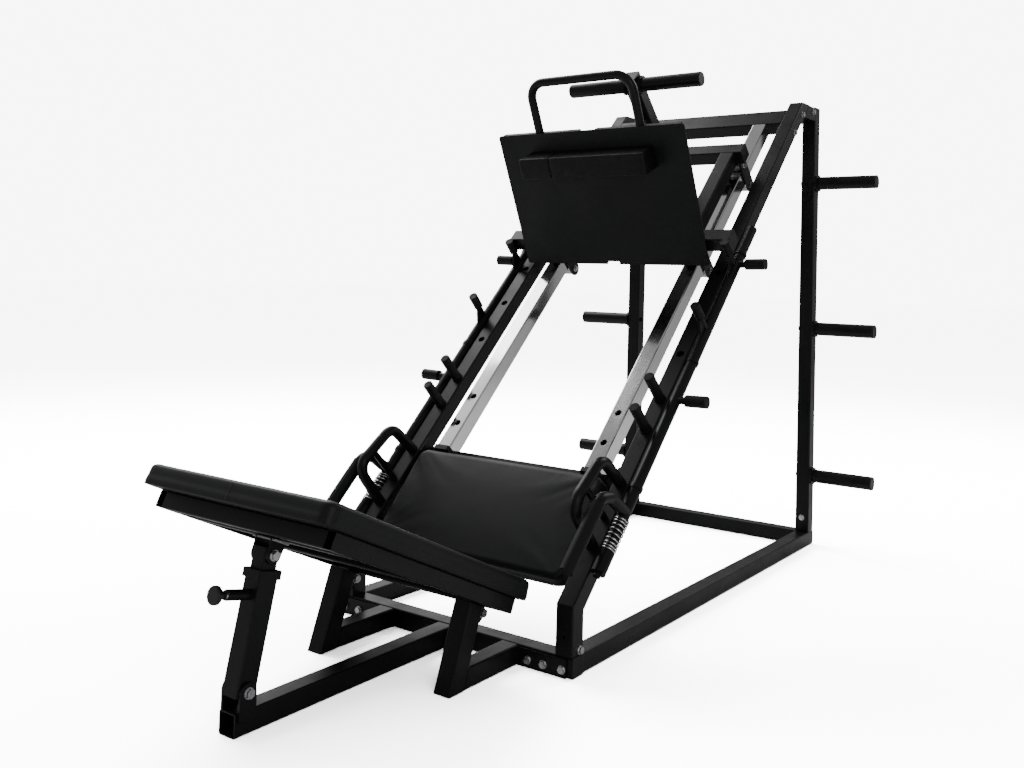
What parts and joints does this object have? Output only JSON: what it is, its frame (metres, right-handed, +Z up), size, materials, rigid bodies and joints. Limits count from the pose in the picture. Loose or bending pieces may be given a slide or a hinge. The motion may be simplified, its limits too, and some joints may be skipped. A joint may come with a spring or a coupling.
{
  "type": "leg press machine",
  "caption": "Inclined leg press: a plate-loaded foot carriage rolls on 45 degree rails above a fixed seat and a tilting back rest, held by turning catch bars and stop pins.",
  "frame": {"origin": "on the floor, under the middle of the front cross tube's underside", "axes": "+X to the user's right, +Y along the floor from the back rest towards the uprights, +Z up"},
  "size_m": [1.234, 2.3776, 1.6666],
  "materials": {
    "frame_paint": "gloss black powder coat",
    "bright_steel": "ground and polished",
    "chrome": "bright chrome",
    "zinc": "bright zinc",
    "rubber": "matte black",
    "plastic": "fine texture, black",
    "vinyl": "grained black vinyl",
    "knob": "satin black knob on a bright pin"
  },
  "bodies": {
    "frame": {"base_side_tube_left": "frame_paint", "base_side_tube_right": "frame_paint", "catch_lugs": "frame_paint", "column_left": "frame_paint", "column_right": "frame_paint", "frame_bolts": "zinc", "front_cross_tube": "frame_paint", "front_leg_left": "frame_paint", "front_leg_right": "frame_paint", "guide_crossbar": "frame_paint", "guide_end_caps": "rubber", "guide_rail_left": "bright_steel", "guide_rail_right": "bright_steel", "outer_rail_left": "frame_paint", "outer_rail_right": "frame_paint", "pivot_bolts": "zinc", "post_ears": "frame_paint", "rear_cross_tube": "frame_paint", "rear_top_beam": "frame_paint", "return_springs": "chrome", "seat_frame": "frame_paint", "seat_handle_left": "frame_paint", "seat_handle_right": "frame_paint", "seat_pad": "vinyl", "spine_tube": "frame_paint", "spring_housings": "frame_paint", "storage_sleeves": "frame_paint", "top_beam": "frame_paint", "top_gussets": "frame_paint", "top_links": "frame_paint", "tube_plugs": "plastic", "upright_left": "frame_paint", "upright_right": "frame_paint"},
    "carriage": {"carriage_frame": "frame_paint", "carriage_post": "frame_paint", "carriage_sleeve": "frame_paint", "carriage_caps": "plastic", "foot_plate": "frame_paint", "foot_block": "rubber", "foot_handle": "frame_paint", "roller_brackets": "frame_paint", "roller_axles": "bright_steel"},
    "roller_low_top": {"rollers_lower_top": "bright_steel"},
    "roller_low_bottom": {"rollers_lower_bottom": "bright_steel"},
    "roller_high_top": {"rollers_upper_top": "bright_steel"},
    "roller_high_bottom": {"rollers_upper_bottom": "bright_steel"},
    "catch_r": {"catch_bar_right": "frame_paint", "catch_grips_right": "rubber"},
    "catch_l": {"catch_bar_left": "frame_paint", "catch_grips_left": "rubber"},
    "pin_lower_r": {"stop_pin_lower_right": "rubber"},
    "pin_lower_l": {"stop_pin_lower_left": "rubber"},
    "pin_upper_r": {"stop_pin_upper_right": "rubber"},
    "pin_upper_l": {"stop_pin_upper_left": "rubber"},
    "backrest": {"back_frame": "frame_paint", "back_pad": "vinyl", "post_head_bracket": "frame_paint"},
    "post_lower": {"post_tube": "frame_paint"},
    "post_upper": {"post_inner": "frame_paint"},
    "pull_pin": {"pull_pin": "knob"}
  },
  "joints": [
    {"name": "carriage_slide", "type": "slide", "parent": "frame", "child": "carriage", "axis": [0, 0.7071, 0.7071], "range_m": [0, 0.2]},
    {"name": "roller_low_top_spin", "type": "hinge", "parent": "carriage", "child": "roller_low_top", "pos_m": [0, 0.8318, 1.05801], "axis": [1, 0, 0], "continuous": true},
    {"name": "roller_low_bottom_spin", "type": "hinge", "parent": "carriage", "child": "roller_low_bottom", "pos_m": [0, 0.89587, 0.99395], "axis": [1, 0, 0], "continuous": true},
    {"name": "roller_high_top_spin", "type": "hinge", "parent": "carriage", "child": "roller_high_top", "pos_m": [0, 1.13869, 1.36489], "axis": [1, 0, 0], "continuous": true},
    {"name": "roller_high_bottom_spin", "type": "hinge", "parent": "carriage", "child": "roller_high_bottom", "pos_m": [0, 1.20275, 1.30083], "axis": [1, 0, 0], "continuous": true},
    {"name": "catch_right_turn", "type": "hinge", "parent": "frame", "child": "catch_r", "pos_m": [0.413, 0.47351, 0.66394], "axis": [0, 0.7071, 0.7071], "range_deg": [0, 55], "stiffness_Nm_per_rad": 3, "springref_deg": -28.65},
    {"name": "catch_left_turn", "type": "hinge", "parent": "frame", "child": "catch_l", "pos_m": [-0.413, 0.47351, 0.66394], "axis": [0, -0.7071, -0.7071], "range_deg": [0, 55], "stiffness_Nm_per_rad": 3, "springref_deg": -28.65},
    {"name": "pin_lower_right_pull", "type": "slide", "parent": "frame", "child": "pin_lower_r", "axis": [0, -0.7071, 0.7071], "range_m": [0, 0.05]},
    {"name": "pin_lower_left_pull", "type": "slide", "parent": "frame", "child": "pin_lower_l", "axis": [0, -0.7071, 0.7071], "range_m": [0, 0.05]},
    {"name": "pin_upper_right_pull", "type": "slide", "parent": "frame", "child": "pin_upper_r", "axis": [0, -0.7071, 0.7071], "range_m": [0, 0.05]},
    {"name": "pin_upper_left_pull", "type": "slide", "parent": "frame", "child": "pin_upper_l", "axis": [0, -0.7071, 0.7071], "range_m": [0, 0.05]},
    {"name": "backrest_tilt", "type": "hinge", "parent": "frame", "child": "backrest", "pos_m": [0, -0.16487, 0.15947], "axis": [-1, 0, 0], "range_deg": [0, 19]},
    {"name": "post_swing", "type": "hinge", "parent": "frame", "child": "post_lower", "pos_m": [0, -0.687, 0.087], "axis": [-1, 0, 0], "range_deg": [0, 7.64]},
    {"name": "post_extend", "type": "slide", "parent": "post_lower", "child": "post_upper", "axis": [0, 0.209, 0.9779], "range_m": [0, 0.1602]},
    {"name": "pull_pin_slide", "type": "slide", "parent": "post_lower", "child": "pull_pin", "axis": [0, -0.9779, 0.209], "range_m": [-0.005, 0]}
  ],
  "couplings": [
    {"joint": "roller_low_top_spin", "follows": "carriage_slide", "rad_per_m": -50},
    {"joint": "roller_high_top_spin", "follows": "carriage_slide", "rad_per_m": -50},
    {"joint": "roller_low_bottom_spin", "follows": "carriage_slide", "rad_per_m": 50},
    {"joint": "roller_high_bottom_spin", "follows": "carriage_slide", "rad_per_m": 50},
    {"joint": "post_swing", "follows": "backrest_tilt", "ratio": 0.40108},
    {"joint": "post_extend", "follows": "backrest_tilt", "m_per_rad": 0.48257}
  ]
}
